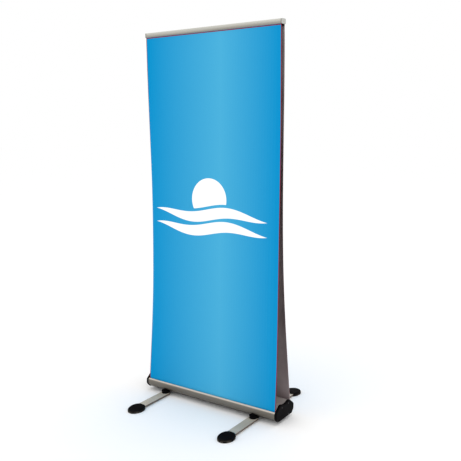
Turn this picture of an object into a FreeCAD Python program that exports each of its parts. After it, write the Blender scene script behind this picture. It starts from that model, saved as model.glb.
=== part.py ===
import FreeCAD, Part

import math
import os

from FreeCAD import Vector

# Double-sided outdoor roll-up banner stand, in millimetres.
# +Z is up, X runs along the cassette and -Y is the front.
# The origin is on the floor, in the middle of the stand.
# Two films rise from one cassette and lean together to one top rail, which a telescopic mast holds up.
# Four swing-out arms carry the cassette.

# Banner films: 850 mm class. They curl inwards along both side edges, most at two fifths of their height.
FILM_WIDTH = 850.0
FILM_THICKNESS = 1.0
FILM_CASSETTE_Y = 74.0
FILM_RAIL_Y = 14.0
FILM_LOW_Z = 62.0
FILM_BEND_Z = 80.0
CURL_LENGTH = 60.0
CURL_ANGLE = 1.05
CURL_PEAK = 0.8
CURL_SHAPE = 1.25
FILM_SECTIONS = 11
FILM_TOP_GAP = 0.5
STRAIGHT = 1e-6

# Cassette. The half outline of its end caps goes from the valley in the roof round to the floor,
# as (y, z, corner radius).
CASSETTE_LENGTH = 854.0
END_CAP_THICKNESS = 13.0
END_CAP_EDGE = 3.5
CASSETTE_HALF = 89.5
CASSETTE_TOP = 104.5
END_CAP_HALF = [
    (0, 86, 60),
    (44, CASSETTE_TOP, 30),
    (CASSETTE_HALF, 66, 14),
    (CASSETTE_HALF, 38, 14),
    (68, 17, 6),
]
END_CAP_LEDGE = 2.0
WALL = 2.5
FLOOR_Z = 19.0
SLOT_INNER_Y = 71.5
SLOT_OUTER_Y = 79.5
SLOT_DEPTH_Z = 60.0
WEB_Y = 27.0
PORT_RADIUS = 4.5
PORT_BORE = 1.7
PORT_YZ = [(33.0, 24.5), (33.0, 84.0)]

# Spring rollers
ROLLER_Y = 54.0
ROLLER_Z = 52.0
ROLLER_TUBE_RADIUS = 16.0
ROLLER_TUBE_WALL = 1.5
ROLLER_TUBE_LENGTH = 846.0
WINDING_RADIUS = 19.0
PLUG_LENGTH = 21.0
PLUG_FLANGE = 1.2
PLUG_FLANGE_RADIUS = 15.6
BOSS_RADIUS = 9.0
BOSS_HEIGHT = 1.5
PIN_DEPTH = 10.0
IDLE_PIN_RADIUS = 4.0
IDLE_PIN_REACH = 17.0
SHAFT_RADIUS = 5.0
SHAFT_REACH = 163.0
SHAFT_COLLAR_RADIUS = 8.0
SHAFT_COLLAR_LENGTH = 6.0
RUNNING_GAP = 0.06
SPRING_RADIUS = 9.5
SPRING_WIRE = 2.2
SPRING_LENGTH = 126.0
SPRING_PITCH = 6.0
SPRING_GAP = 3.0

# Telescopic mast: three tubes, each sliding in the one below
TUBE_WALL = 1.2
LOWER_TUBE = (14.0, 26.0, 706.0)
MIDDLE_TUBE = (12.0, 640.0, 1342.0)
UPPER_TUBE = (10.0, 1275.0, 1968.0)
GLIDE_LENGTH = 20.0
GLIDE_START = 1.0
FOOT_PLUG_LENGTH = 12.0
COLLAR_WALL = 5.0
COLLAR_BELOW = 22.0
COLLAR_ABOVE = 10.0
COLLAR_GUIDE_GAP = 0.08
LEVER_PIN_RADIUS = 2.0
LEVER_PIN_DROP = 4.0
LOWER_PIN_X = 23.7
UPPER_PIN_X = 23.2
EAR_INNER_Y = 5.3
EAR_OUTER_Y = 9.0
EAR_HEIGHT = 18.0
EAR_REACH = 5.0
EAR_ROOT = 1.0
LEVER_HALF_WIDTH = 4.9
LEVER_HUB_RADIUS = 4.2

# Clamp lever, hanging closed along the mast: its side outline from its pin's centre, as (x, z, corner radius)
LEVER_OUTLINE = [(-2.2, 0, 0), (3.4, 0, 0), (3.4, -28, 14), (7.5, -46, 1.2), (4.0, -46, 1.2), (-2.2, -30, 10)]

# Mast socket in the middle of the cassette
SOCKET_RADIUS = 20.0
SOCKET_TOP_Z = 104.0
SOCKET_RIM_RADIUS = 24.0
SOCKET_RIM_HEIGHT = 18.0
SOCKET_PLATE = (68.0, 50.0, 4.5)
SOCKET_BORE_GAP = 0.1
SOCKET_SCREW_XY = (28.0, 14.0)

# Top rail
RAIL_Z = 1990.0
RAIL_HEIGHT = 24.0
RAIL_HALF_DEPTH = 18.0
RAIL_CORE_LENGTH = 851.0
RAIL_CORE_HALF = 9.3
RAIL_CHANNEL_HALF = 6.8
RAIL_CHANNEL_TOP = 17.0
RAIL_PLATE_HALF = 14.0
RAIL_PLATE_THICKNESS = 4.5
RIB_HALF = 13.4
RIB_Z = (2.0, 5.0)
JAW_LENGTH = 850.4
JAW_AXIS_Y = 14.4
JAW_AXIS_DROP = 3.6
JAW_KNUCKLE = 3.6
JAW_GROOVE = 4.0
JAW_BORE = 1.26
JAW_INNER_Y = 15.4
JAW_LIP_Y = 14.7
JAW_LIP_HEIGHT = 3.0
JAW_CORNER = 1.4
JAW_LIP_CORNERS = (0.5, 0.3)
HINGE_PIN_RADIUS = 1.2
HINGE_PIN_LENGTH = 9.5
RAIL_CAP_THICKNESS = 3.5
RAIL_CAP_CORNERS = (2.5, 3.5)
SPIGOT_LENGTH = 12.5
SPIGOT_GAP = 0.2
SPIGOT_Z = (4.0, 16.0)
BUMPER_SIZE = (19.0, 16.0, 10.0)
BUMPER_CORNER = 3.0
BUMPER_INSET = 0.5
BUMPER_STEM = 3.8
HEAD_BLOCK = (44.0, 18.0)
HEAD_CORNER = 4.0
HEAD_TONGUE = (40.0, 12.6, 14.0)
HEAD_SPIGOT_LENGTH = 23.0

# Swing-out feet
PIVOT_X = 298.0
PIVOT_Y = 86.0
ARM_WIDTH = 52.0
ARM_LOW_Z = 5.0
ARM_HIGH_Z = 14.0
ARM_EDGE = 1.0
ARM_REACH = 275.0
SHOE_START = 200.0
SHOE_END = 296.0
SHOE_WIDTH = 86.0
SHOE_HEIGHT = 18.4
SHOE_TIP_HEIGHT = 13.0
SHOE_TOP_RADIUS = 7.5
SHOE_MOUTH_CUT = 8.0
SHOE_FLAT = 20.0
SHOE_BEND = 60.0
BUSH_RADIUS = 6.0
PIVOT_GAP = 0.3
PIVOT_BOLT_RADIUS = 4.0
PIVOT_BOLT_TOP = 23.5
PIVOT_HEAD_RADIUS = 8.0
PIVOT_HEAD_HEIGHT = 3.5
HUB_RADIUS = 22.0
HUB_TOP_Z = 28.0
HUB_PLATE_BACK_Y = 36.0
HUB_LUG_WIDTH = 16.0
HUB_LUG_TOP_Z = 38.0
HUB_LUG_DEPTH = 6.5
HUB_SCREW_X = 14.0
HUB_SCREW_Y = 44.0

# Fasteners: shank radius, head radius and head height
CAP_SCREW = (PORT_BORE, 3.6, 2.4)
CAP_SCREW_LENGTH = 24.0
SOCKET_SCREW = (2.5, 4.6, 2.4)
HUB_SCREW = (2.0, 3.6, 2.2)
HUB_SCREW_LENGTH = 7.4

# How far a cutting shape reaches past what it cuts, and the difference below which two places are the same
CUT = 1.0
SAME = 0.01

SIDES = (("left", -1), ("right", 1))
FACES = (("front", -1), ("rear", 1))


def box(low, high):
    """A block between two opposite corners."""
    size = Vector(*high) - Vector(*low)
    return Part.makeBox(size.x, size.y, size.z, Vector(*low))


def rod_x(x_from, x_to, y, z, radius):
    """A cylinder along X."""
    return Part.makeCylinder(radius, x_to - x_from, Vector(x_from, y, z), Vector(1, 0, 0))


def rod_y(half_length, x, z, radius):
    """A cylinder along Y, centred on the middle plane."""
    return Part.makeCylinder(radius, 2 * half_length, Vector(x, -half_length, z), Vector(0, 1, 0))


def rod_z(z_from, z_to, x, y, radius):
    """A cylinder along Z."""
    return Part.makeCylinder(radius, z_to - z_from, Vector(x, y, z_from))


def cone_z(z_from, z_to, x, y, radius_from, radius_to):
    """A cone along Z."""
    return Part.makeCone(radius_from, radius_to, z_to - z_from, Vector(x, y, z_from))


def pipe_z(z_from, z_to, inner, outer):
    """A tube round the Z axis."""
    return rod_z(z_from, z_to, 0, 0, outer).cut(rod_z(z_from - CUT, z_to + CUT, 0, 0, inner))


def rounded_wire(corners, place):
    """A closed outline whose corners (u, v, radius) are rounded. place turns (u, v) into a point in space."""
    edges = []
    joints = []
    for index, (u, v, radius) in enumerate(corners):
        before = corners[index - 1]
        after = corners[(index + 1) % len(corners)]
        corner = Vector(u, v, 0)
        arriving = (corner - Vector(before[0], before[1], 0)).normalize()
        leaving = (Vector(after[0], after[1], 0) - corner).normalize()
        turn = arriving.getAngle(leaving)
        reach = radius * math.tan(turn / 2)
        start = corner - arriving * reach
        end = corner + leaving * reach
        inward = (leaving - arriving).normalize()
        middle = corner + inward * (radius / math.cos(turn / 2) - radius)
        joints.append((start, middle, end, radius))
    for index, (start, middle, end, radius) in enumerate(joints):
        if radius > 0:
            arc = Part.Arc(place(start.x, start.y), place(middle.x, middle.y), place(end.x, end.y))
            edges.append(arc.toShape())
        following = joints[(index + 1) % len(joints)][0]
        edges.append(Part.LineSegment(place(end.x, end.y), place(following.x, following.y)).toShape())
    return Part.Wire(edges)


def both_halves(half):
    """The whole outline, from the half on the positive side of the middle line."""
    return half + [(-u, v, radius) for u, v, radius in reversed(half) if u > 0]


def across(corners, x_from, x_to):
    """A bar along X whose section is an outline of (y, z, radius) corners."""
    face = Part.Face(rounded_wire(corners, lambda u, v: Vector(x_from, u, v)))
    return face.extrude(Vector(x_to - x_from, 0, 0))


def cassette_solid(inset, x_from, x_to):
    """A bar along X with the cassette's outline, smaller than its end caps by inset all round."""
    face = Part.Face(rounded_wire(both_halves(END_CAP_HALF), lambda u, v: Vector(x_from, u, v)))
    if inset > 0:
        face = face.makeOffset2D(-inset)
    return face.extrude(Vector(x_to - x_from, 0, 0))


def mirrored_x(shape):
    return shape.mirror(Vector(0, 0, 0), Vector(1, 0, 0))


def mirrored_y(shape):
    return shape.mirror(Vector(0, 0, 0), Vector(0, 1, 0))


def on_side(shape, side, face=1):
    """A shape made for the right and the rear, moved to the side and face that the signs give."""
    if side < 0:
        shape = mirrored_x(shape)
    if face < 0:
        shape = mirrored_y(shape)
    return shape


def cassette_body():
    """One aluminium extrusion: floor, front and rear walls, two roller chambers and the mast's channel."""
    half = CASSETTE_LENGTH / 2
    body = cassette_solid(END_CAP_LEDGE, -half, half).cut(cassette_solid(END_CAP_LEDGE + WALL, -half, half))
    inside = cassette_solid(END_CAP_LEDGE + WALL / 2, -half, half)
    for face in (-1, 1):
        web = box((-half, WEB_Y, FLOOR_Z), (half, WEB_Y + WALL, CASSETTE_TOP)).common(inside)
        body = body.fuse(on_side(web, 1, face))
        for y, z in PORT_YZ:
            port = rod_x(-half, half, y, z, PORT_RADIUS).common(inside)
            body = body.fuse(on_side(port, 1, face))
    for face in (-1, 1):
        slot = box((-half, SLOT_INNER_Y, SLOT_DEPTH_Z), (half, SLOT_OUTER_Y, CASSETTE_TOP))
        body = body.cut(on_side(slot, 1, face))
        for y, z in PORT_YZ:
            body = body.cut(rod_x(-half, half, face * y, z, PORT_BORE))
    body = body.cut(rod_z(FLOOR_Z + WALL, SOCKET_TOP_Z, 0, 0, SOCKET_RADIUS))
    for x, y in socket_screw_places():
        body = body.cut(rod_z(FLOOR_Z - CUT, FLOOR_Z + WALL + CUT, x, y, SOCKET_SCREW[0]))
    for side in (-1, 1):
        for face in (-1, 1):
            for x, y in hub_screw_places(side, face):
                body = body.cut(rod_z(FLOOR_Z - CUT, FLOOR_Z + WALL + CUT, x, y, HUB_SCREW[0]))
    return body.removeSplitter()


def cap_screw_places():
    """Each end cap's screw centres, as (y, z)."""
    return [(face * y, z) for face in (-1, 1) for y, z in PORT_YZ]


def cap_screw(x_face, y, z):
    """A countersunk screw through the right end cap into the extrusion's screw port."""
    shank, head, height = CAP_SCREW
    cone = Part.makeCone(shank, head, height, Vector(x_face - height, y, z), Vector(1, 0, 0))
    return rod_x(x_face - CAP_SCREW_LENGTH, x_face - height, y, z, shank).fuse(cone)


def end_cap(side, bore):
    """Moulded cover on one end of the cassette, with the bosses that hold the rollers' pins."""
    inner = CASSETTE_LENGTH / 2
    outer = inner + END_CAP_THICKNESS
    boss = inner - BOSS_HEIGHT
    plate = cassette_solid(0, inner, outer)
    rim = [edge for edge in plate.Edges if all(abs(vertex.X - outer) < SAME for vertex in edge.Vertexes)]
    plate = plate.makeFillet(END_CAP_EDGE, rim)
    for face in (-1, 1):
        plate = plate.fuse(rod_x(boss, inner, face * ROLLER_Y, ROLLER_Z, BOSS_RADIUS))
        plate = plate.cut(rod_x(boss, boss + PIN_DEPTH, face * ROLLER_Y, ROLLER_Z, bore))
    for y, z in cap_screw_places():
        plate = plate.cut(cap_screw(outer, y, z))
    return on_side(plate, side)


def end_cap_screws():
    """Eight countersunk screws, four in each end cap."""
    outer = CASSETTE_LENGTH / 2 + END_CAP_THICKNESS
    screws = []
    for side in (-1, 1):
        for y, z in cap_screw_places():
            screws.append(on_side(cap_screw(outer, y, z), side))
    return Part.makeCompound(screws)


def idle_pins():
    """Steel pins in the right end cap on which the rollers' idle ends turn."""
    inner = CASSETTE_LENGTH / 2
    outer = inner + PIN_DEPTH - BOSS_HEIGHT
    pins = [rod_x(inner - BOSS_HEIGHT - IDLE_PIN_REACH, outer, face * ROLLER_Y, ROLLER_Z, IDLE_PIN_RADIUS)
            for face in (-1, 1)]
    return Part.makeCompound(pins)


def spring_shaft(face):
    """Fixed shaft in the left end cap, which the roller turns on and its spring is hooked to."""
    outer = -CASSETTE_LENGTH / 2 - PIN_DEPTH + BOSS_HEIGHT
    inner = -CASSETTE_LENGTH / 2 + SHAFT_REACH
    y = face * ROLLER_Y
    shaft = rod_x(outer, inner, y, ROLLER_Z, SHAFT_RADIUS)
    return shaft.fuse(rod_x(inner - SHAFT_COLLAR_LENGTH, inner, y, ROLLER_Z, SHAFT_COLLAR_RADIUS))


def roller_spring(face):
    """Torsion spring coiled round the fixed shaft, inside the roller."""
    helix = Part.makeHelix(SPRING_PITCH, SPRING_LENGTH, SPRING_RADIUS)
    section = Part.makeCircle(SPRING_WIRE / 2, Vector(SPRING_RADIUS, 0, 0), Vector(0, 1, 0))
    coil = Part.Wire(helix).makePipeShell([Part.Wire(section)], True, True)
    coil.rotate(Vector(0, 0, 0), Vector(0, 1, 0), 90)
    start = -ROLLER_TUBE_LENGTH / 2 + PLUG_LENGTH + SPRING_GAP
    coil.translate(Vector(start, face * ROLLER_Y, ROLLER_Z))
    return coil


def roller_tube(face):
    """Thin aluminium tube that the film is wound on."""
    half = ROLLER_TUBE_LENGTH / 2
    outside = rod_x(-half, half, face * ROLLER_Y, ROLLER_Z, ROLLER_TUBE_RADIUS)
    return outside.cut(rod_x(-half, half, face * ROLLER_Y, ROLLER_Z, ROLLER_TUBE_RADIUS - ROLLER_TUBE_WALL))


def roller_plug(side, face, bore):
    """Plastic plug in one end of the roller, bored to run on its pin or shaft."""
    half = ROLLER_TUBE_LENGTH / 2
    inside = ROLLER_TUBE_RADIUS - ROLLER_TUBE_WALL
    plug = rod_x(half - PLUG_LENGTH, half, face * ROLLER_Y, ROLLER_Z, inside)
    plug = plug.fuse(rod_x(half, half + PLUG_FLANGE, face * ROLLER_Y, ROLLER_Z, PLUG_FLANGE_RADIUS))
    plug = plug.cut(rod_x(0, half + PLUG_FLANGE, face * ROLLER_Y, ROLLER_Z, bore + RUNNING_GAP))
    return on_side(plug, side)


def film_winding(face):
    """The turns of film that stay on the roller when the banner is up."""
    half = FILM_WIDTH / 2
    outside = rod_x(-half, half, face * ROLLER_Y, ROLLER_Z, WINDING_RADIUS)
    return outside.cut(rod_x(-half, half, face * ROLLER_Y, ROLLER_Z, ROLLER_TUBE_RADIUS))


def socket_screw_places():
    """The mast socket's screw centres, as (x, y)."""
    x, y = SOCKET_SCREW_XY
    return [(-x, -y), (x, -y), (-x, y), (x, y)]


def mast_socket():
    """Moulded socket that stands on the cassette's floor and comes out through its roof."""
    length, depth, thickness = SOCKET_PLATE
    base_z = FLOOR_Z + WALL
    plate = box((-length / 2, -depth / 2, base_z), (length / 2, depth / 2, base_z + thickness))
    rim = rod_z(SOCKET_TOP_Z - SOCKET_RIM_HEIGHT, SOCKET_TOP_Z, 0, 0, SOCKET_RIM_RADIUS)
    rim = rim.cut(cassette_solid(END_CAP_LEDGE, -SOCKET_RIM_RADIUS - CUT, SOCKET_RIM_RADIUS + CUT))
    socket = plate.fuse(rod_z(base_z, SOCKET_TOP_Z, 0, 0, SOCKET_RADIUS)).fuse(rim)
    socket = socket.cut(rod_z(LOWER_TUBE[1], SOCKET_TOP_Z, 0, 0, LOWER_TUBE[0] + SOCKET_BORE_GAP))
    for x, y in socket_screw_places():
        socket = socket.cut(rod_z(base_z, base_z + thickness, x, y, SOCKET_SCREW[0]))
    return socket.removeSplitter()


def mast_socket_screws():
    """Four screws up through the cassette's floor into the mast socket."""
    shank, head, height = SOCKET_SCREW
    top = FLOOR_Z + WALL + SOCKET_PLATE[2]
    screws = []
    for x, y in socket_screw_places():
        screws.append(rod_z(FLOOR_Z, top, x, y, shank).fuse(rod_z(FLOOR_Z - height, FLOOR_Z, x, y, head)))
    return Part.makeCompound(screws)


def mast_tube(tube):
    """One tube of the mast."""
    radius, low, high = tube
    return pipe_z(low, high, radius - TUBE_WALL, radius)


def mast_glide(tube, around):
    """Plastic ring at the foot of a sliding tube, which runs in the tube around it."""
    radius, low, _ = tube
    bore = around[0] - TUBE_WALL
    return pipe_z(low + GLIDE_START, low + GLIDE_START + GLIDE_LENGTH, radius, bore - COLLAR_GUIDE_GAP)


def mast_foot_plug():
    """Plug in the foot of the lower tube."""
    radius, low, _ = LOWER_TUBE
    return rod_z(low, low + FOOT_PLUG_LENGTH, 0, 0, radius - TUBE_WALL)


def clamp_pin_z(tube):
    """Height of the lever's pin on the collar at the top of a tube."""
    return tube[2] - LEVER_PIN_DROP


def clamp_collar(tube, inner_tube, pin_x):
    """Collar on the top of a tube, with a guide for the tube inside and two ears for the clamp lever."""
    radius, _, high = tube
    outer = radius + COLLAR_WALL
    pin_z = clamp_pin_z(tube)
    collar = pipe_z(high - COLLAR_BELOW, high + COLLAR_ABOVE, radius, outer)
    guide = pipe_z(high, high + COLLAR_ABOVE, inner_tube[0] + COLLAR_GUIDE_GAP, outer)
    collar = collar.fuse(guide)
    for sign in (-1, 1):
        y_low, y_high = sorted((sign * EAR_INNER_Y, sign * EAR_OUTER_Y))
        low_corner = (radius + EAR_ROOT, y_low, pin_z - EAR_HEIGHT / 2)
        high_corner = (pin_x + EAR_REACH, y_high, pin_z + EAR_HEIGHT / 2)
        collar = collar.fuse(box(low_corner, high_corner))
    return collar.cut(rod_y(EAR_OUTER_Y, pin_x, pin_z, LEVER_PIN_RADIUS)).removeSplitter()


def clamp_pin(tube, pin_x):
    """Steel pin that the clamp lever turns on."""
    return rod_y(EAR_OUTER_Y, pin_x, clamp_pin_z(tube), LEVER_PIN_RADIUS)


def clamp_lever(tube, pin_x):
    """Cam lever between the collar's ears."""
    pin_z = clamp_pin_z(tube)
    outline = rounded_wire(LEVER_OUTLINE, lambda u, v: Vector(pin_x + u, -LEVER_HALF_WIDTH, pin_z + v))
    arm = Part.Face(outline).extrude(Vector(0, 2 * LEVER_HALF_WIDTH, 0))
    lever = arm.fuse(rod_y(LEVER_HALF_WIDTH, pin_x, pin_z, LEVER_HUB_RADIUS))
    return lever.cut(rod_y(LEVER_HALF_WIDTH, pin_x, pin_z, LEVER_PIN_RADIUS + RUNNING_GAP)).removeSplitter()


def mast_head():
    """Head in the top of the mast: a block under the rail and a tongue in the rail's channel."""
    radius, _, tube_top = UPPER_TUBE
    block_x, block_y = HEAD_BLOCK
    tongue_x, tongue_y, tongue_z = HEAD_TONGUE
    head = rod_z(tube_top - HEAD_SPIGOT_LENGTH, tube_top, 0, 0, radius - TUBE_WALL)
    block = box((-block_x / 2, -block_y / 2, tube_top), (block_x / 2, block_y / 2, RAIL_Z))
    corners = [edge for edge in block.Edges if edge.BoundBox.ZLength > 2 * SAME]
    block = block.makeFillet(HEAD_CORNER, corners)
    tongue = box((-tongue_x / 2, -tongue_y / 2, RAIL_Z), (tongue_x / 2, tongue_y / 2, RAIL_Z + tongue_z))
    return head.fuse(block).fuse(tongue).removeSplitter()


def jaw_axis_z():
    """Height of the axis on which the rail's jaws turn."""
    return RAIL_Z + RAIL_HEIGHT - JAW_AXIS_DROP


def rail_core():
    """Middle extrusion of the top rail, open below for the mast's head, with a rib behind each film."""
    half = RAIL_CORE_LENGTH / 2
    top = RAIL_Z + RAIL_HEIGHT
    core = box((-half, -RAIL_CORE_HALF, RAIL_Z), (half, RAIL_CORE_HALF, top))
    core = core.fuse(box((-half, -RAIL_PLATE_HALF, top - RAIL_PLATE_THICKNESS), (half, RAIL_PLATE_HALF, top)))
    core = core.fuse(box((-half, -RIB_HALF, RAIL_Z + RIB_Z[0]), (half, RIB_HALF, RAIL_Z + RIB_Z[1])))
    channel_top = RAIL_Z + RAIL_CHANNEL_TOP
    core = core.cut(box((-half, -RAIL_CHANNEL_HALF, RAIL_Z), (half, RAIL_CHANNEL_HALF, channel_top)))
    for face in (-1, 1):
        core = core.cut(rod_x(-half, half, face * JAW_AXIS_Y, jaw_axis_z(), JAW_GROOVE))
    return core.removeSplitter()


def rail_jaw(face):
    """Snap jaw on one face of the top rail: a knuckle at the top, a plate, and a lip that grips the film."""
    half = JAW_LENGTH / 2
    axis_z = jaw_axis_z()
    outline = [
        (JAW_INNER_Y, axis_z, 0),
        (RAIL_HALF_DEPTH, axis_z, 0),
        (RAIL_HALF_DEPTH, RAIL_Z, JAW_CORNER),
        (JAW_LIP_Y, RAIL_Z, JAW_LIP_CORNERS[0]),
        (JAW_LIP_Y, RAIL_Z + JAW_LIP_HEIGHT, JAW_LIP_CORNERS[1]),
        (JAW_INNER_Y, RAIL_Z + JAW_LIP_HEIGHT, 0),
    ]
    jaw = across(outline, -half, half).fuse(rod_x(-half, half, JAW_AXIS_Y, axis_z, JAW_KNUCKLE))
    jaw = jaw.cut(rod_x(-half, half, JAW_AXIS_Y, axis_z, JAW_BORE)).removeSplitter()
    return on_side(jaw, 1, face)


def rail_end_cap(side):
    """Grey cap on one end of the top rail. Its spigot fits the core's channel and its pins carry the jaws."""
    inner = RAIL_CORE_LENGTH / 2
    outer = inner + RAIL_CAP_THICKNESS
    low_corner, high_corner = RAIL_CAP_CORNERS
    outline = [
        (RAIL_HALF_DEPTH, RAIL_Z, low_corner),
        (RAIL_HALF_DEPTH, RAIL_Z + RAIL_HEIGHT, high_corner),
        (-RAIL_HALF_DEPTH, RAIL_Z + RAIL_HEIGHT, high_corner),
        (-RAIL_HALF_DEPTH, RAIL_Z, low_corner),
    ]
    plate = across(outline, inner, outer)
    spigot_half = RAIL_CHANNEL_HALF - SPIGOT_GAP
    low = (inner - SPIGOT_LENGTH, -spigot_half, RAIL_Z + SPIGOT_Z[0])
    cap = plate.fuse(box(low, (inner, spigot_half, RAIL_Z + SPIGOT_Z[1])))
    for face in (-1, 1):
        y = face * JAW_AXIS_Y
        cap = cap.fuse(rod_x(inner - HINGE_PIN_LENGTH, inner, y, jaw_axis_z(), HINGE_PIN_RADIUS))
    return on_side(cap.removeSplitter(), side)


def rail_bumpers():
    """Black bumpers under both ends of the rail, between the films."""
    length, depth, height = BUMPER_SIZE
    outer = RAIL_CORE_LENGTH / 2 - BUMPER_INSET
    stem_half = RAIL_CHANNEL_HALF - SPIGOT_GAP
    block = box((outer - length, -depth / 2, RAIL_Z - height), (outer, depth / 2, RAIL_Z))
    long_edges = [edge for edge in block.Edges
                  if edge.BoundBox.XLength > 2 * SAME and edge.CenterOfMass.z < RAIL_Z - SAME]
    bumper = block.makeFillet(BUMPER_CORNER, long_edges)
    bumper = bumper.fuse(box((outer - length, -stem_half, RAIL_Z), (outer, stem_half, RAIL_Z + BUMPER_STEM)))
    return Part.makeCompound([bumper, mirrored_x(bumper)])


def film_y(z):
    """Distance of a film from the middle plane at a height."""
    share = max(0.0, z - FILM_BEND_Z) / (RAIL_Z - FILM_BEND_Z)
    return FILM_CASSETTE_Y + (FILM_RAIL_Y - FILM_CASSETTE_Y) * share


def curl_angle(z):
    """How far the film's side edge has turned inwards at a height, in radians."""
    share = min(1.0, max(0.0, z - FILM_BEND_Z) / (RAIL_Z - FILM_BEND_Z))
    return CURL_ANGLE * max(0.0, math.sin(math.pi * share ** CURL_PEAK)) ** CURL_SHAPE


def film_section(z):
    """The rear film's section at a height: a flat middle and two curled edges, each of two facets."""
    angle = curl_angle(z)
    flat = FILM_WIDTH / 2 - CURL_LENGTH
    half = [(flat, 0.0)]
    for share in (0.5, 1.0):
        turned = angle * share
        along = CURL_LENGTH * share
        inward = 0.0
        if turned > STRAIGHT:
            along = CURL_LENGTH / angle * math.sin(turned)
            inward = CURL_LENGTH / angle * (1 - math.cos(turned))
        half.append((flat + along, inward))
    line = [(-x, inward) for x, inward in reversed(half)] + half
    y = film_y(z)
    outer = [Vector(x, y + FILM_THICKNESS / 2 - inward, z) for x, inward in line]
    inner = [Vector(x, y - FILM_THICKNESS / 2 - inward, z) for x, inward in reversed(line)]
    points = outer + inner
    return Part.makePolygon(points + [points[0]])


def banner(face):
    """One film from inside the cassette's slot to the rail's lower edge."""
    top = RAIL_Z - FILM_TOP_GAP
    heights = [FILM_LOW_Z, FILM_BEND_Z]
    for index in range(1, FILM_SECTIONS):
        heights.append(FILM_BEND_Z + (top - FILM_BEND_Z) * index / (FILM_SECTIONS - 1))
    film = Part.makeLoft([film_section(z) for z in heights], True, True)
    return on_side(film, 1, face)


def foot_arm():
    """Flat aluminium arm, made for the rear right: round at its pivot, square in its shoe."""
    half = ARM_WIDTH / 2
    bar = box((PIVOT_X - half, PIVOT_Y, ARM_LOW_Z), (PIVOT_X + half, PIVOT_Y + ARM_REACH, ARM_HIGH_Z))
    bar = bar.fuse(rod_z(ARM_LOW_Z, ARM_HIGH_Z, PIVOT_X, PIVOT_Y, half)).removeSplitter()
    rims = [edge for edge in bar.Edges
            if edge.BoundBox.ZLength < SAME and edge.CenterOfMass.y < PIVOT_Y + ARM_REACH - SAME]
    bar = bar.makeFillet(ARM_EDGE, rims)
    return bar.cut(rod_z(ARM_LOW_Z, ARM_HIGH_Z, PIVOT_X, PIVOT_Y, BUSH_RADIUS))


def foot_bush():
    """Plastic bush in the arm's pivot hole."""
    bush = rod_z(ARM_LOW_Z, ARM_HIGH_Z, PIVOT_X, PIVOT_Y, BUSH_RADIUS)
    return bush.cut(rod_z(ARM_LOW_Z, ARM_HIGH_Z, PIVOT_X, PIVOT_Y, PIVOT_BOLT_RADIUS + RUNNING_GAP))


def foot_shoe(arm):
    """Domed oval shoe on the end of the arm. It is what the stand rests on."""
    middle = (SHOE_START - SHOE_MOUTH_CUT + SHOE_END) / 2
    long_radius = SHOE_END - middle
    ellipse = Part.Ellipse(Vector(PIVOT_X, PIVOT_Y + middle, 0), long_radius, SHOE_WIDTH / 2)
    outline = ellipse.toShape()
    outline.rotate(Vector(PIVOT_X, PIVOT_Y + middle, 0), Vector(0, 0, 1), 90)
    shoe = Part.Face(Part.Wire(outline)).extrude(Vector(0, 0, SHOE_HEIGHT))
    slope = [
        (PIVOT_Y, SHOE_HEIGHT, 0),
        (PIVOT_Y + SHOE_START + SHOE_FLAT, SHOE_HEIGHT, SHOE_BEND),
        (PIVOT_Y + SHOE_END + CUT, SHOE_TIP_HEIGHT, 0),
        (PIVOT_Y + SHOE_END + CUT, SHOE_HEIGHT + CUT, 0),
        (PIVOT_Y, SHOE_HEIGHT + CUT, 0),
    ]
    shoe = shoe.cut(across(slope, PIVOT_X - SHOE_WIDTH, PIVOT_X + SHOE_WIDTH))
    top_rim = [edge for edge in shoe.Edges if edge.BoundBox.ZMin > SAME and edge.BoundBox.YLength > 2 * SAME]
    shoe = shoe.makeFillet(SHOE_TOP_RADIUS, top_rim)
    shoe = shoe.cut(box((0, 0, -CUT), (2 * PIVOT_X, PIVOT_Y + SHOE_START, SHOE_HEIGHT + CUT)))
    return shoe.cut(arm)


def hub_screw_places(side, face):
    """The screw centres of one foot hub, as (x, y)."""
    return [(side * (PIVOT_X + offset), face * HUB_SCREW_Y) for offset in (-HUB_SCREW_X, HUB_SCREW_X)]


def foot_hub():
    """Moulded pivot block under the cassette's lower edge, made for the rear right."""
    base_z = ARM_HIGH_Z + PIVOT_GAP
    hub = rod_z(base_z, HUB_TOP_Z, PIVOT_X, PIVOT_Y, HUB_RADIUS)
    low = (PIVOT_X - HUB_RADIUS, HUB_PLATE_BACK_Y, base_z)
    hub = hub.fuse(box(low, (PIVOT_X + HUB_RADIUS, PIVOT_Y, FLOOR_Z)))
    face_y = CASSETTE_HALF - END_CAP_LEDGE
    low = (PIVOT_X - HUB_LUG_WIDTH / 2, PIVOT_Y, base_z)
    hub = hub.fuse(box(low, (PIVOT_X + HUB_LUG_WIDTH / 2, face_y + HUB_LUG_DEPTH, HUB_LUG_TOP_Z)))
    hub = hub.cut(cassette_solid(END_CAP_LEDGE, PIVOT_X - HUB_RADIUS - CUT, PIVOT_X + HUB_RADIUS + CUT))
    hub = hub.cut(rod_z(base_z, PIVOT_BOLT_TOP, PIVOT_X, PIVOT_Y, PIVOT_BOLT_RADIUS))
    for x, y in hub_screw_places(1, 1):
        hub = hub.cut(hub_screw(x, y))
    return hub.removeSplitter()


def hub_screw(x, y):
    """A countersunk screw up through the hub into the cassette's floor."""
    shank, head, height = HUB_SCREW
    base_z = ARM_HIGH_Z + PIVOT_GAP
    screw = cone_z(base_z, base_z + height, x, y, head, shank)
    return screw.fuse(rod_z(base_z + height, base_z + HUB_SCREW_LENGTH, x, y, shank))


def foot_hub_screws():
    """Eight countersunk screws, two in each hub."""
    return Part.makeCompound([hub_screw(x, y) for _, side in SIDES for _, face in FACES
                              for x, y in hub_screw_places(side, face)])


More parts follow.
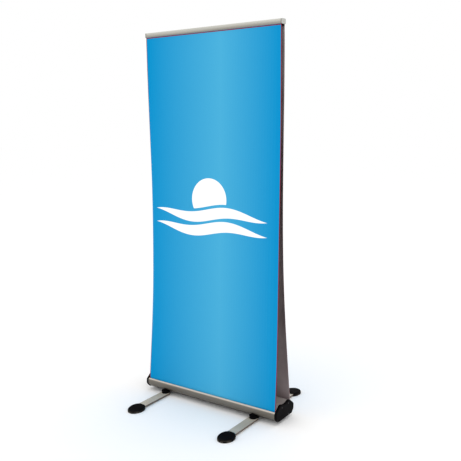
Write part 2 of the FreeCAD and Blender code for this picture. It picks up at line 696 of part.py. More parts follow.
def foot_pivot_bolts():
    """Four shoulder bolts up through the arms into the hubs."""
    head_top = ARM_LOW_Z - PIVOT_GAP
    bolts = []
    for side in (-1, 1):
        for face in (-1, 1):
            x = side * PIVOT_X
            y = face * PIVOT_Y
            bolt = rod_z(head_top, PIVOT_BOLT_TOP, x, y, PIVOT_BOLT_RADIUS)
            bolts.append(bolt.fuse(rod_z(head_top - PIVOT_HEAD_HEIGHT, head_top, x, y, PIVOT_HEAD_RADIUS)))
    return Part.makeCompound(bolts)


def write(name, shape):
    shape.exportStep("parts/" + name + ".step")


def write_cassette():
    write("cassette_body", cassette_body())
    write("left_end_cap", end_cap(-1, SHAFT_RADIUS))
    write("right_end_cap", end_cap(1, IDLE_PIN_RADIUS))
    write("end_cap_screws", end_cap_screws())
    write("roller_idle_pins", idle_pins())


def write_roller(name, face):
    write(name + "_roller_shaft", spring_shaft(face))
    write(name + "_roller_spring", roller_spring(face))
    write(name + "_roller_tube", roller_tube(face))
    write(name + "_roller_drive_plug", roller_plug(-1, face, SHAFT_RADIUS))
    write(name + "_roller_idle_plug", roller_plug(1, face, IDLE_PIN_RADIUS))
    write(name + "_film_winding", film_winding(face))
    write(name + "_banner", banner(face))
    write(name + "_rail_jaw", rail_jaw(face))


def write_mast():
    write("mast_socket", mast_socket())
    write("mast_socket_screws", mast_socket_screws())
    write("mast_lower_tube", mast_tube(LOWER_TUBE))
    write("mast_foot_plug", mast_foot_plug())
    write("mast_middle_tube", mast_tube(MIDDLE_TUBE))
    write("mast_middle_glide", mast_glide(MIDDLE_TUBE, LOWER_TUBE))
    write("mast_upper_tube", mast_tube(UPPER_TUBE))
    write("mast_upper_glide", mast_glide(UPPER_TUBE, MIDDLE_TUBE))
    write("lower_clamp_collar", clamp_collar(LOWER_TUBE, MIDDLE_TUBE, LOWER_PIN_X))
    write("lower_clamp_pin", clamp_pin(LOWER_TUBE, LOWER_PIN_X))
    write("lower_clamp_lever", clamp_lever(LOWER_TUBE, LOWER_PIN_X))
    write("upper_clamp_collar", mirrored_x(clamp_collar(MIDDLE_TUBE, UPPER_TUBE, UPPER_PIN_X)))
    write("upper_clamp_pin", mirrored_x(clamp_pin(MIDDLE_TUBE, UPPER_PIN_X)))
    write("upper_clamp_lever", mirrored_x(clamp_lever(MIDDLE_TUBE, UPPER_PIN_X)))
    write("mast_head", mast_head())


def write_rail():
    write("top_rail_core", rail_core())
    write("left_rail_end_cap", rail_end_cap(-1))
    write("right_rail_end_cap", rail_end_cap(1))
    write("rail_end_bumpers", rail_bumpers())


def write_feet():
    write("foot_pivot_bolts", foot_pivot_bolts())
    write("foot_hub_screws", foot_hub_screws())
    arm = foot_arm()
    bush = foot_bush()
    shoe = foot_shoe(arm)
    hub = foot_hub()
    for side_name, side in SIDES:
        for face_name, face in FACES:
            name = face_name + "_" + side_name
            write(name + "_foot_arm", on_side(arm, side, face))
            write(name + "_foot_bush", on_side(bush, side, face))
            write(name + "_foot_shoe", on_side(shoe, side, face))
            write(name + "_foot_hub", on_side(hub, side, face))


os.makedirs("parts", exist_ok=True)
write_cassette()
for face_name, face_sign in FACES:
    write_roller(face_name, face_sign)
write_mast()
write_rail()
write_feet()
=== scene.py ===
import math

import bpy
from mathutils import Matrix, Vector


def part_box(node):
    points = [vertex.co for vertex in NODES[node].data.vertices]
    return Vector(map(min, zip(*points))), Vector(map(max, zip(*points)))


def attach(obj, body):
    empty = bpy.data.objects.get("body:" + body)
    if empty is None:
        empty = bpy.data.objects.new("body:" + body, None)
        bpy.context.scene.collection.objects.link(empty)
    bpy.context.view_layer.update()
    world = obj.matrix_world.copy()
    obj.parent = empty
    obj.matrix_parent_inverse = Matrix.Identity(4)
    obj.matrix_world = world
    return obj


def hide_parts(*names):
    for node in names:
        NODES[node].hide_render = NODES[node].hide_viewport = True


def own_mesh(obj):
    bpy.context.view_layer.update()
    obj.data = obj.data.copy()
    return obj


# Double-sided outdoor roll-up banner stand, in metres.
# +Z is up, X runs along the cassette, and -Y is the front.
# Both films stretch from the cassette's slots to the top rail.

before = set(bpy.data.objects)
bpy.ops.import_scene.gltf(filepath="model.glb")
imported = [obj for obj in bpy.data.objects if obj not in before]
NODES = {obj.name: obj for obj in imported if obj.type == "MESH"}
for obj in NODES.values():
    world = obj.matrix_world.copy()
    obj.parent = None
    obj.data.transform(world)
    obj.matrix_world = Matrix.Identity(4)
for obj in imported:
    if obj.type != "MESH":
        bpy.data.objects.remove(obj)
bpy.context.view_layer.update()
FACES = (("front", -1), ("rear", 1))
SIDES = ("left", "right")

# Films: the shape of their CAD solids, but thinner, and continued into the slot and the rail's jaw.
# They rise straight to FILM_BEND_Z and lean inwards above it.
CAD_FILM_THICKNESS = 0.001
FILM_THICKNESS = 0.0005
FILM_RAIL_Y = 0.014
FILM_BEND_Z = 0.080
SLOT_REACH = 0.006
JAW_REACH = 0.0065

# Their side edges turn inwards over CURL_LENGTH, by up to CURL_ANGLE radians.
# CURL_PEAK below 1 puts the strongest curl below half height. CURL_SHAPE above 1 narrows it.
# The film counts as flat where it has turned by less than LEAST_TURN.
CURL_LENGTH = 0.060
CURL_ANGLE = 1.05
CURL_PEAK = 0.8
CURL_SHAPE = 1.25
LEAST_TURN = 1e-5

# Ripples in the film, and how many radians their phase moves on over its height and per metre across
RIPPLE_DEPTH = 0.0004
RIPPLES_ACROSS = 2.3
RIPPLES_UP = 1.7
PHASE_UP = 5
PHASE_ACROSS = 3

# Points of the film: flat and curled columns on each side of the middle, and rows where it leans
FLAT_COLUMNS = 14
CURL_COLUMNS = 10
FILM_ROWS = 130

# Print: blue, lightest a little to the right of the middle, in narrow steps. Dark red lines are
# painted along the sides and just below the rail's jaw.
BLUE_EDGE = (0, 143, 202)
BLUE_MIDDLE = (74, 174, 216)
BLUE_PEAK = 0.065
BLUE_STEP = 0.016
MOTTLE_BLUE = (0, 120, 190)
MOTTLE_SHARE = 0.05
RIM_RED = (142, 28, 34)
RIM_WIDTH = 0.0036
TOP_LINE = 0.0035
LINE_SOFT = 0.0004

# Emblem: a white sun over two waves, by metres from its centre
EMBLEM_Z = 1.095
EMBLEM_WHITE = (255, 255, 255)
EMBLEM_SOFT = 0.0006
SUN_RADIUS = 0.112
SUN_HEIGHT = 0.040
HORIZON_SOFT = 0.002
WAVE_HEIGHTS = (-0.040, -0.114)
WAVE_HALF_LENGTH = 0.360
WAVE_HALF_WIDTH = 0.030
WAVE_SWING = 0.016
WAVE_COUNT = 1.5
WAVE_GAP = 0.016

# Back of the film
BACK_GREYS = ((138, 125, 126), (164, 152, 153))

# Cassette colours, painted with light and shade, and the heights or distances from the middle over
# which each comes in
# The greys are painted shade: the front is darker lower down and lighter higher up, with die lines
# mixed in
CASSETTE_GREYS = ((84, 79, 72), (132, 126, 117))
CASSETTE_RISE_Z = (0.030, 0.070)
# Painted highlight on the lips beside the slots
LIP_HIGHLIGHT = (206, 197, 184)
LIP_Y = (0.0775, 0.0795)
LIP_Z = (0.0640, 0.0685)
# Painted light on the roof between the slots
ROOF_LIGHT = (196, 190, 186)
ROOF_Y = (0.0745, 0.0715)
ROOF_Z = (0.060, 0.075)
# Painted shade: a dark band along the cassette's foot
BOTTOM_SHADE = (46, 41, 38)
BOTTOM_SHADE_Z = (0.027, 0.021)
# Share of the greys' mix taken by the painted shade by height, the rest by the die lines
RISE_SHARE = 0.65

# Rail colours: painted lighter at the top and darker lower down as shade. The dark joint, painted
# shadow in the gap together with dirt, comes in from JOINT_START to JOINT_END short of the rail
# core's end
RAIL_GREYS = ((128, 124, 115), (200, 199, 190))
RAIL_PALE_BAND = 0.002
RAIL_LINE_SHARE = 0.18
# The joint's dark colour is painted shadow in the gap together with dirt
JOINT_SHADOW_AND_DIRT = (72, 62, 58)
JOINT_START = 0.0035
JOINT_END = 0.0025
JOINT_SHARE = 0.8

# Foot bar colours: a face counts as top or bottom by the upright part of its normal, and the sides
# are painted darker as shade.
# BAR_SHADE is the band in which the sum of two noises mostly lies.
BAR_TOPS = ((180, 171, 155), (199, 192, 178))
BAR_SIDE_SHADE = ((84, 70, 62), (112, 98, 88))
BAR_UPRIGHT = (0.45, 0.75)
BAR_SHADE = (0.75, 1.25)

# Noise mostly lies in NOISE_BAND. Scuffs, dust patches and smudges use bands of their own.
NOISE_BAND = (0.3, 0.7)
SCUFF_BAND = (0.42, 0.62)
PATCH_BAND = (0.35, 0.7)
SMUDGE_BAND = (0.35, 0.65)
GLOSS_SPREAD = 0.10

# Edges: dot product of the rounded normal and the face's own, from flat to a full edge
BEVEL_SAMPLES = 6
EDGE_BAND = (0.98, 0.80)

# Dust lies on the lowest part of the shoes
DUST_COLOUR = (150, 142, 130)
DUST_TOP_Z = 0.016

# Camera
CAMERA_PLACE = (2.0638, -2.8013, 1.5399)
CAMERA_TURN = 0.6097
CAMERA_DIP = 0.1641
CAMERA_ROLL = -0.0121
CAMERA_LENS = 51.6
SENSOR_WIDTH = 36.0

# Studio: each lamp's name, place, target, size in metres and power in watts
LAMPS = (
    ("key", (-2.2, -5.0, 3.2), (0, 0, 0.9), 3.0, 14),
    ("fill", (4.6, -1.6, 2.6), (0, 0, 0.9), 3.0, 6),
    ("top", (0.4, -0.4, 6.0), (0, 0, 0), 5.0, 30),
)
FLOOR_SIZE = 60


def linear(colour):
    """Screen colour values from 0 to 255, as linear light with an alpha of 1."""
    light = []
    for value in colour:
        share = value / 255
        light.append(share / 12.92 if share <= 0.04045 else ((share + 0.055) / 1.055) ** 2.4)
    return (*light, 1.0)


def feed(tree, value, socket):
    """Links an output to a socket, or sets a plain value on it."""
    if isinstance(value, bpy.types.NodeSocket):
        tree.links.new(value, socket)
    else:
        socket.default_value = value


def calc(tree, operation, *values, clamp=False):
    node = tree.nodes.new("ShaderNodeMath")
    node.operation = operation
    node.use_clamp = clamp
    for value, socket in zip(values, node.inputs):
        feed(tree, value, socket)
    return node.outputs["Value"]


def remap(tree, value, low, high, to_low=0.0, to_high=1.0, smooth=False):
    node = tree.nodes.new("ShaderNodeMapRange")
    node.interpolation_type = "SMOOTHSTEP" if smooth else "LINEAR"
    for number, socket in zip((value, low, high, to_low, to_high), node.inputs):
        feed(tree, number, socket)
    return node.outputs["Result"]


def spread(tree, fac, to_low=0.0, to_high=1.0):
    """Noise, stretched from its usual band to another."""
    return remap(tree, fac, *NOISE_BAND, to_low, to_high)


def mix(tree, share, first, second):
    node = tree.nodes.new("ShaderNodeMix")
    node.data_type = "RGBA"
    feed(tree, share, node.inputs["Factor"])
    feed(tree, first, node.inputs["A"])
    feed(tree, second, node.inputs["B"])
    return node.outputs["Result"]


def blend(tree, share, colours):
    """A mix of two screen colours."""
    first, second = colours
    return mix(tree, share, linear(first), linear(second))


def place(tree, source="Object", scale=(1, 1, 1)):
    """Texture coordinates in metres, stretched by a scale."""
    coordinates = tree.nodes.new("ShaderNodeTexCoord")
    mapping = tree.nodes.new("ShaderNodeMapping")
    mapping.inputs["Scale"].default_value = scale
    tree.links.new(coordinates.outputs[source], mapping.inputs["Vector"])
    return mapping.outputs["Vector"]


def axes(tree, vector):
    node = tree.nodes.new("ShaderNodeSeparateXYZ")
    feed(tree, vector, node.inputs["Vector"])
    return node.outputs["X"], node.outputs["Y"], node.outputs["Z"]


def noise(tree, vector, scale=1.0, detail=3.0):
    node = tree.nodes.new("ShaderNodeTexNoise")
    feed(tree, vector, node.inputs["Vector"])
    node.inputs["Scale"].default_value = scale
    node.inputs["Detail"].default_value = detail
    return node.outputs["Fac"]


def soft_edges(tree, radius):
    """(a normal rounded over the edges, how near a point is to an outer edge from 0 to 1)."""
    bevel = tree.nodes.new("ShaderNodeBevel")
    bevel.samples = BEVEL_SAMPLES
    bevel.inputs["Radius"].default_value = radius
    geometry = tree.nodes.new("ShaderNodeNewGeometry")
    dot = tree.nodes.new("ShaderNodeVectorMath")
    dot.operation = "DOT_PRODUCT"
    feed(tree, bevel.outputs["Normal"], dot.inputs[0])
    feed(tree, geometry.outputs["Normal"], dot.inputs[1])
    return bevel.outputs["Normal"], remap(tree, dot.outputs["Value"], *EDGE_BAND)


def start_material(name, metallic=0.0, specular=0.5):
    material = bpy.data.materials.new(name)
    material.use_nodes = True
    tree = material.node_tree
    shader = tree.nodes["Principled BSDF"]
    shader.inputs["Metallic"].default_value = metallic
    shader.inputs["Specular IOR Level"].default_value = specular
    return material, tree, shader


def end_material(tree, shader, colour, roughness, relief, depth, normal=None):
    """Connects a material's colour, roughness and bump, which is depth metres deep."""
    feed(tree, colour, shader.inputs["Base Color"])
    feed(tree, roughness, shader.inputs["Roughness"])
    bump = tree.nodes.new("ShaderNodeBump")
    bump.inputs["Distance"].default_value = depth
    feed(tree, relief, bump.inputs["Height"])
    if normal is not None:
        feed(tree, normal, bump.inputs["Normal"])
    feed(tree, bump.outputs["Normal"], shader.inputs["Normal"])


def surface(name, colour, roughness, metallic=0.0, specular=0.5, grain=(900, 900, 900),
            grain_depth=0.00004, tint=0.10, edge_radius=0.0008, edge_colour=None, dust=0.0):
    """A moulded, drawn or machined surface with grain, a cloudy shade and gloss, and soft edges.

    An edge colour adds worn edges, and dust a share of dust near the floor.
    """
    material, tree, shader = start_material(name, metallic, specular)
    fine = noise(tree, place(tree, scale=grain), detail=2.0)
    cloud = noise(tree, place(tree), scale=9.0, detail=5.0)
    dark = linear(colour)
    pale = tuple(min(1.0, value * (1 + 2 * tint)) for value in dark[:3]) + (1.0,)
    half_fine = calc(tree, "MULTIPLY", fine, 0.5)
    shade = calc(tree, "ADD", half_fine, calc(tree, "MULTIPLY", cloud, 0.5))
    base = mix(tree, spread(tree, shade), dark, pale)
    normal, edge = soft_edges(tree, edge_radius)
    if edge_colour is not None:
        scuffs = remap(tree, noise(tree, place(tree), scale=160.0, detail=4.0), *SCUFF_BAND)
        base = mix(tree, calc(tree, "MULTIPLY", edge, scuffs), base, linear(edge_colour))
    if dust > 0:
        height = axes(tree, place(tree))[2]
        low = remap(tree, height, DUST_TOP_Z, 0.0, 0.0, dust, smooth=True)
        patches = remap(tree, noise(tree, place(tree), scale=60.0, detail=6.0), *PATCH_BAND)
        base = mix(tree, calc(tree, "MULTIPLY", low, patches), base, linear(DUST_COLOUR))
    gloss = spread(tree, cloud, roughness - GLOSS_SPREAD, roughness + GLOSS_SPREAD)
    end_material(tree, shader, base, gloss, fine, grain_depth, normal)
    return material


def cassette_metal():
    """Satin extrusion with die lines along it, painted darker lower down as shade, a painted
    highlight on the lips beside the slots, painted light on the roof between them, and painted shade
    along its foot.
    """
    material, tree, shader = start_material("satin_extrusion", metallic=0.55, specular=0.4)
    _, across, height = axes(tree, place(tree))
    lines = noise(tree, place(tree, scale=(2.5, 1100, 1100)))
    cloud = noise(tree, place(tree, scale=(3, 12, 12)), detail=5.0)
    # Painted shade: darker lower down on the front, lighter higher up
    rise = calc(tree, "MULTIPLY", remap(tree, height, *CASSETTE_RISE_Z), RISE_SHARE)
    shade = calc(tree, "ADD", rise, calc(tree, "MULTIPLY", lines, 1 - RISE_SHARE))
    base = blend(tree, shade, CASSETTE_GREYS)
    distance = calc(tree, "ABSOLUTE", across)
    # Painted highlight on the lips beside the slots
    lip_height = remap(tree, height, *LIP_Z, smooth=True)
    lip_highlight = calc(tree, "MULTIPLY", remap(tree, distance, *LIP_Y), lip_height)
    base = mix(tree, lip_highlight, base, linear(LIP_HIGHLIGHT))
    # Painted light on the roof between the slots
    roof_height = remap(tree, height, *ROOF_Z)
    roof_light = calc(tree, "MULTIPLY", remap(tree, distance, *ROOF_Y), roof_height)
    base = mix(tree, roof_light, base, linear(ROOF_LIGHT))
    # Painted shade in a dark band along the foot
    base = mix(tree, remap(tree, height, *BOTTOM_SHADE_Z, smooth=True), base, linear(BOTTOM_SHADE))
    normal, _ = soft_edges(tree, 0.0008)
    end_material(tree, shader, base, spread(tree, cloud, 0.34, 0.52), lines, 0.00006, normal)
    return material


def rail_metal(half_length, low_z, high_z):
    """Satin rail with die lines along it, painted lighter at the top and darker lower down as shade,
    and a dark joint at each end cap, painted shadow in the gap together with dirt.
    """
    material, tree, shader = start_material("rail_extrusion", metallic=0.35, specular=0.4)
    along, _, height = axes(tree, place(tree))
    lines = noise(tree, place(tree, scale=(2.5, 1300, 1300)))
    cloud = noise(tree, place(tree, scale=(3, 12, 12)), detail=5.0)
    # Painted shade: lighter at the top, darker lower down
    rise = remap(tree, height, low_z, high_z - RAIL_PALE_BAND)
    streaks = spread(tree, lines, -RAIL_LINE_SHARE, RAIL_LINE_SHARE)
    base = blend(tree, calc(tree, "ADD", rise, streaks, clamp=True), RAIL_GREYS)
    distance = calc(tree, "ABSOLUTE", along)
    # Dark joint: painted shadow in the gap together with dirt
    joint = remap(tree, distance, half_length - JOINT_START, half_length - JOINT_END)
    base = mix(tree, calc(tree, "MULTIPLY", joint, JOINT_SHARE), base, linear(JOINT_SHADOW_AND_DIRT))
    normal, _ = soft_edges(tree, 0.0006)
    end_material(tree, shader, base, spread(tree, cloud, 0.34, 0.50), lines, 0.00005, normal)
    return material


def bar_metal():
    """Satin flat bar whose sides are painted darker as shade."""
    material, tree, shader = start_material("foot_bar", metallic=0.2, specular=0.25)
    geometry = tree.nodes.new("ShaderNodeNewGeometry")
    upright = calc(tree, "ABSOLUTE", axes(tree, geometry.outputs["Normal"])[2])
    lines = noise(tree, place(tree, scale=(1100, 3, 1100)))
    cloud = noise(tree, place(tree), scale=14.0, detail=5.0)
    shade = remap(tree, calc(tree, "ADD", lines, cloud), *BAR_SHADE)
    top = blend(tree, shade, BAR_TOPS)
    # The sides take a darker copy of the colour: painted shade
    side = blend(tree, shade, BAR_SIDE_SHADE)
    base = mix(tree, remap(tree, upright, *BAR_UPRIGHT), side, top)
    normal, _ = soft_edges(tree, 0.0006)
    end_material(tree, shader, base, spread(tree, cloud, 0.38, 0.54), lines, 0.00004, normal)
    return material


def disc(tree, across, up, radius):
    """1 inside a circle round the origin, 0 outside."""
    across_squared = calc(tree, "MULTIPLY", across, across)
    up_squared = calc(tree, "MULTIPLY", up, up)
    distance = calc(tree, "SQRT", calc(tree, "ADD", across_squared, up_squared))
    return remap(tree, distance, radius + EMBLEM_SOFT, radius - EMBLEM_SOFT)


def wave(tree, across, up, height, extra=0.0):
    """1 inside a wavy stripe that tapers to both ends."""
    phase = calc(tree, "MULTIPLY", across, math.pi * WAVE_COUNT / WAVE_HALF_LENGTH)
    swing = calc(tree, "MULTIPLY", calc(tree, "SINE", phase), WAVE_SWING)
    middle = calc(tree, "ADD", swing, height)
    offset = calc(tree, "ABSOLUTE", calc(tree, "SUBTRACT", up, middle))
    share = calc(tree, "DIVIDE", across, WAVE_HALF_LENGTH)
    taper = calc(tree, "SUBTRACT", 1.0, calc(tree, "MULTIPLY", share, share))
    half = calc(tree, "ADD", calc(tree, "MULTIPLY", taper, WAVE_HALF_WIDTH), extra)
    return remap(tree, calc(tree, "SUBTRACT", half, offset), -EMBLEM_SOFT, EMBLEM_SOFT)


def emblem(tree, across, up):
    """How white the print is: a sun that sets behind two waves."""
    first, second = WAVE_HEIGHTS
    sun = disc(tree, across, calc(tree, "SUBTRACT", up, SUN_HEIGHT), SUN_RADIUS)
    shown = calc(tree, "SUBTRACT", 1.0, wave(tree, across, up, first, WAVE_GAP))
    above = remap(tree, calc(tree, "SUBTRACT", up, first), -HORIZON_SOFT, HORIZON_SOFT)
    sun = calc(tree, "MULTIPLY", calc(tree, "MULTIPLY", sun, shown), above)
    waves = calc(tree, "MAXIMUM", wave(tree, across, up, first), wave(tree, across, up, second))
    return calc(tree, "MAXIMUM", sun, waves)


def print_material(half_width, height, emblem_up):
    """Printed face: stepped blue and a white emblem, with a dark red line painted along the sides and
    just below the rail's jaw.
    """
    material, tree, shader = start_material("banner_print", specular=0.02)
    across, up, _ = axes(tree, place(tree, "UV"))
    stepped = calc(tree, "SNAP", across, BLUE_STEP)
    left = remap(tree, stepped, -half_width, BLUE_PEAK)
    right = remap(tree, stepped, half_width, BLUE_PEAK)
    blue = blend(tree, calc(tree, "MINIMUM", left, right), (BLUE_EDGE, BLUE_MIDDLE))
    mottle = noise(tree, place(tree, "UV"), scale=700.0, detail=2.0)
    blue = mix(tree, spread(tree, mottle, 0.0, MOTTLE_SHARE), blue, linear(MOTTLE_BLUE))
    white = emblem(tree, across, calc(tree, "SUBTRACT", up, emblem_up))
    colour = mix(tree, white, blue, linear(EMBLEM_WHITE))
    line_start = half_width - RIM_WIDTH
    side = remap(tree, calc(tree, "ABSOLUTE", across), line_start, line_start + LINE_SOFT)
    line_up = height - JAW_REACH - TOP_LINE / 2
    from_line = calc(tree, "ABSOLUTE", calc(tree, "SUBTRACT", up, line_up))
    top = remap(tree, from_line, TOP_LINE / 2 + LINE_SOFT, TOP_LINE / 2)
    colour = mix(tree, calc(tree, "MAXIMUM", side, top), colour, linear(RIM_RED))
    smears = noise(tree, place(tree, "UV", (5, 1.2, 1)), detail=4.0)
    end_material(tree, shader, colour, spread(tree, smears, 0.42, 0.58), mottle, 0.00001)
    return material


def back_material():
    """Opaque grey back of the film, faintly smudged."""
    material, tree, shader = start_material("film_back", specular=0.1)
    smudges = noise(tree, place(tree, "UV"), scale=4.5, detail=6.0)
    weave = noise(tree, place(tree, "UV"), scale=900.0, detail=2.0)
    colour = blend(tree, remap(tree, smudges, *SMUDGE_BAND), BACK_GREYS)
    end_material(tree, shader, colour, spread(tree, smudges, 0.55, 0.75), weave, 0.00002)
    return material


def rim_material():
    """Cut edge of the film."""
    return surface("film_rim", RIM_RED, roughness=0.6, grain=(2000, 2000, 300),
                   grain_depth=0.00002, edge_radius=0.0002)


def leaning_share(z, top_z):
    """How far up its leaning part a height is on the film, from 0 to 1."""
    return min(1.0, max(0.0, (z - FILM_BEND_Z) / (top_z - FILM_BEND_Z)))


def curl_angle(share):
    """How far the film's side edge has turned inwards, in radians."""
    return CURL_ANGLE * max(0.0, math.sin(math.pi * share ** CURL_PEAK)) ** CURL_SHAPE


def film_point(across, z, half_width, slot_y, top_z):
    """A point of the rear film. across is the flat distance from its middle, along the film."""
    share = leaning_share(z, top_z)
    y = slot_y + (FILM_RAIL_Y - slot_y) * share
    depth = RIPPLE_DEPTH * math.sin(math.pi * share) ** 2
    turns_across = RIPPLES_ACROSS * across / half_width
    y += depth * math.sin(2 * math.pi * turns_across + PHASE_UP * share)
    y += depth * math.sin(2 * math.pi * RIPPLES_UP * share + PHASE_ACROSS * across)
    flat = half_width - CURL_LENGTH
    curled = max(0.0, abs(across) - flat)
    angle = curl_angle(share)
    turned = angle * curled / CURL_LENGTH
    if turned < LEAST_TURN:
        return Vector((across, y, z))
    radius = CURL_LENGTH / angle
    side = math.copysign(flat + radius * math.sin(turned), across)
    return Vector((side, y - radius * (1 - math.cos(turned)), z))


def film_columns(half_width):
    """Flat distances from the film's middle at which it has a column of points."""
    flat = half_width - CURL_LENGTH
    right = [flat * step / FLAT_COLUMNS for step in range(1, FLAT_COLUMNS + 1)]
    right += [flat + CURL_LENGTH * step / CURL_COLUMNS for step in range(1, CURL_COLUMNS + 1)]
    return [-across for across in reversed(right)] + [0.0] + right


def film_rows(low, high):
    """Heights at which the film has a row of points, from in the slot to in the rail's jaw."""
    rise = high - FILM_BEND_Z
    leaning = [FILM_BEND_Z + rise * row / FILM_ROWS for row in range(FILM_ROWS + 1)]
    return [low, (low + FILM_BEND_Z) / 2] + leaning + [high + JAW_REACH / 2, high + JAW_REACH]


def build_film(name, face, materials):
    """(a printed film, its flat length).

    Its UV map holds flat metres: across as seen from outside, and up from its lower edge.
    """
    low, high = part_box(name + "_banner")
    half_width = (high.x - low.x) / 2
    slot_y = max(abs(low.y), abs(high.y)) - CAD_FILM_THICKNESS / 2
    columns = film_columns(half_width)
    rows = film_rows(low.z - SLOT_REACH, high.z)
    middles = [film_point(0.0, z, half_width, slot_y, high.z) for z in rows]
    climbs = [0.0]
    for below, above in zip(middles, middles[1:]):
        climbs.append(climbs[-1] + (above - below).length)
    points = []
    flat = []
    for z, climb in zip(rows, climbs):
        for across in columns:
            point = film_point(across, z, half_width, slot_y, high.z)
            points.append((point.x, face * point.y, point.z))
            flat.append((-face * across, climb))
    wide = len(columns)
    faces = []
    for row in range(len(rows) - 1):
        for column in range(wide - 1):
            corner = row * wide + column
            corners = (corner, corner + 1, corner + wide + 1, corner + wide)
            faces.append(corners if face < 0 else tuple(reversed(corners)))
    mesh = bpy.data.meshes.new(name + "_film")
    mesh.from_pydata(points, [], faces)
    layer = mesh.uv_layers.new(name="flat")
    for loop in mesh.loops:
        layer.data[loop.index].uv = flat[loop.vertex_index]
    for polygon in mesh.polygons:
        polygon.use_smooth = True
    for material in materials:
        mesh.materials.append(material)
    film = bpy.data.objects.new(name + "_film", mesh)
    bpy.context.scene.collection.objects.link(film)
    thickness = film.modifiers.new("thickness", "SOLIDIFY")
    thickness.thickness = FILM_THICKNESS
    thickness.offset = 0
    thickness.material_offset = 1
    thickness.material_offset_rim = 2
    return film, climbs[-1]


def add_films():
    """Two stretched films in place of the CAD ones."""
    back = back_material()
    rim = rim_material()
    for name, face in FACES:
        low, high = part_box(name + "_banner")
        half_width = (high.x - low.x) / 2
        height = high.z + JAW_REACH - low.z + SLOT_REACH
        front = print_material(half_width, height, EMBLEM_Z - low.z + SLOT_REACH)
        film, length = build_film(name, face, (front, back, rim))
        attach(film, "base")
        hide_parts(name + "_banner")
        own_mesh(film)


def paint(material, *names):
    """Gives CAD nodes a material."""
    for name in names:
        slots = NODES[name].data.materials
        slots.clear()
        slots.append(material)


def both(*names):
    """Node names, for the front and the rear."""
    return [f"{face}_{name}" for face, _ in FACES for name in names]


def feet(*names):
    """Node names, for the four feet."""
    return [f"{face}_{side}_foot_{name}" for face, _ in FACES for side in SIDES for name in names]


def paint_metal():
    paint(cassette_metal(), "cassette_body")
    rail_low, rail_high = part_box("top_rail_core")
    rail = rail_metal(rail_high.x, rail_low.z, rail_high.z)
    paint(rail, "top_rail_core", *both("rail_jaw"))
    tube = surface("mast_tube", (208, 208, 204), roughness=0.36, metallic=0.35,
                   grain=(700, 700, 4), tint=0.06)
    paint(tube, "mast_lower_tube", "mast_middle_tube", "mast_upper_tube")
    mill = surface("mill_tube", (160, 160, 158), roughness=0.42, metallic=0.9,
                   grain=(4, 700, 700), tint=0.08)
    paint(mill, *both("roller_tube"))
    paint(bar_metal(), *feet("arm"))
    steel = surface("zinc_steel", (168, 168, 166), roughness=0.33, metallic=1.0,
                    grain=(500, 500, 500), edge_colour=(200, 200, 200))
    paint(steel, "roller_idle_pins", *both("roller_shaft"), "lower_clamp_pin", "upper_clamp_pin")
    paint(steel, "foot_pivot_bolts", "foot_hub_screws", "mast_socket_screws")
    spring = surface("spring_steel", (92, 92, 96), roughness=0.36, metallic=1.0, tint=0.15)
    paint(spring, *both("roller_spring"))
    oxide = surface("black_screw", (24, 24, 25), roughness=0.40, metallic=0.6, tint=0.2,
                    edge_colour=(110, 110, 110))
    paint(oxide, "end_cap_screws")


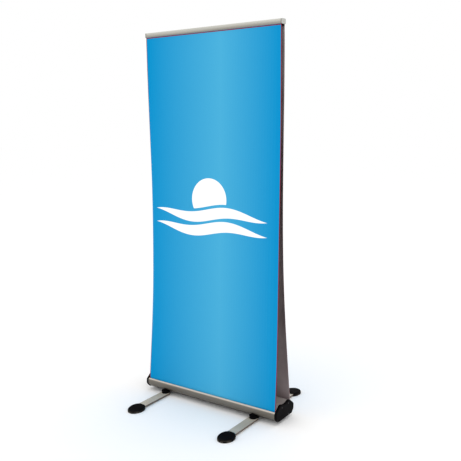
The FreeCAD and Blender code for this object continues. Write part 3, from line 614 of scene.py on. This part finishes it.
def paint_plastic():
    plastic = surface("black_plastic", (9, 8, 9), roughness=0.52, specular=0.02,
                      grain=(1400, 1400, 1400), grain_depth=0.00006, tint=0.25,
                      edge_colour=(46, 44, 44))
    paint(plastic, "left_end_cap", "right_end_cap", *feet("hub"))
    clamp = surface("clamp_plastic", (24, 24, 26), roughness=0.46, specular=0.4,
                    grain=(1400, 1400, 1400), grain_depth=0.00006, tint=0.25,
                    edge_colour=(70, 70, 70))
    paint(clamp, "mast_socket", "mast_foot_plug", "mast_head")
    paint(clamp, "lower_clamp_collar", "upper_clamp_collar", "lower_clamp_lever", "upper_clamp_lever")
    rubber = surface("black_rubber", (10, 9, 10), roughness=0.68, specular=0.02,
                     grain=(2200, 2200, 2200), grain_depth=0.00005, tint=0.25,
                     edge_colour=(40, 39, 38), dust=0.35)
    paint(rubber, "rail_end_bumpers", *feet("shoe"))
    grey = surface("grey_plastic", (178, 178, 172), roughness=0.45, specular=0.4,
                   grain=(1400, 1400, 1400), tint=0.06)
    paint(grey, "left_rail_end_cap", "right_rail_end_cap")
    nylon = surface("natural_nylon", (226, 221, 206), roughness=0.48, specular=0.4, tint=0.04)
    paint(nylon, "mast_middle_glide", "mast_upper_glide", *feet("bush"))
    paint(nylon, *both("roller_drive_plug", "roller_idle_plug"))
    winding = surface("wound_film", (134, 125, 129), roughness=0.60, grain=(30, 2500, 2500),
                      grain_depth=0.0001, tint=0.08)
    paint(winding, *both("film_winding"))


def add_floor():
    bpy.ops.mesh.primitive_plane_add(size=FLOOR_SIZE)
    floor = bpy.context.object
    floor.name = "floor"
    material, _, shader = start_material("floor", specular=0.0)
    shader.inputs["Base Color"].default_value = (1, 1, 1, 1)
    shader.inputs["Roughness"].default_value = 1.0
    floor.data.materials.append(material)


def add_lamp(name, position, target, size, power):
    light = bpy.data.lights.new(name, "AREA")
    light.shape = "DISK"
    light.size = size
    light.energy = power
    lamp = bpy.data.objects.new(name, light)
    lamp.location = position
    aim = Vector(target) - Vector(position)
    lamp.rotation_euler = aim.to_track_quat("-Z", "Y").to_euler()
    bpy.context.scene.collection.objects.link(lamp)


def add_studio():
    """White surroundings, a soft key from the front left, a weaker fill and a wide top lamp."""
    world = bpy.data.worlds.new("studio")
    world.use_nodes = True
    bpy.context.scene.world = world
    background = world.node_tree.nodes["Background"]
    background.inputs["Color"].default_value = (1, 1, 1, 1)
    background.inputs["Strength"].default_value = 1.0
    for lamp in LAMPS:
        add_lamp(*lamp)
    bpy.context.scene.view_settings.view_transform = "Standard"


def add_camera():
    data = bpy.data.cameras.new("camera")
    data.sensor_width = SENSOR_WIDTH
    data.lens = CAMERA_LENS
    camera = bpy.data.objects.new("camera", data)
    bpy.context.scene.collection.objects.link(camera)
    forward = Vector((
        -math.sin(CAMERA_TURN) * math.cos(CAMERA_DIP),
        math.cos(CAMERA_TURN) * math.cos(CAMERA_DIP),
        -math.sin(CAMERA_DIP),
    ))
    level = Vector((math.cos(CAMERA_TURN), math.sin(CAMERA_TURN), 0))
    above = level.cross(forward)
    right = math.cos(CAMERA_ROLL) * level + math.sin(CAMERA_ROLL) * above
    up = math.cos(CAMERA_ROLL) * above - math.sin(CAMERA_ROLL) * level
    turn = Matrix((right, up, -forward)).transposed().to_4x4()
    camera.matrix_world = Matrix.Translation(CAMERA_PLACE) @ turn
    bpy.context.scene.camera = camera


paint_metal()
paint_plastic()
add_films()
add_floor()
add_studio()
add_camera()
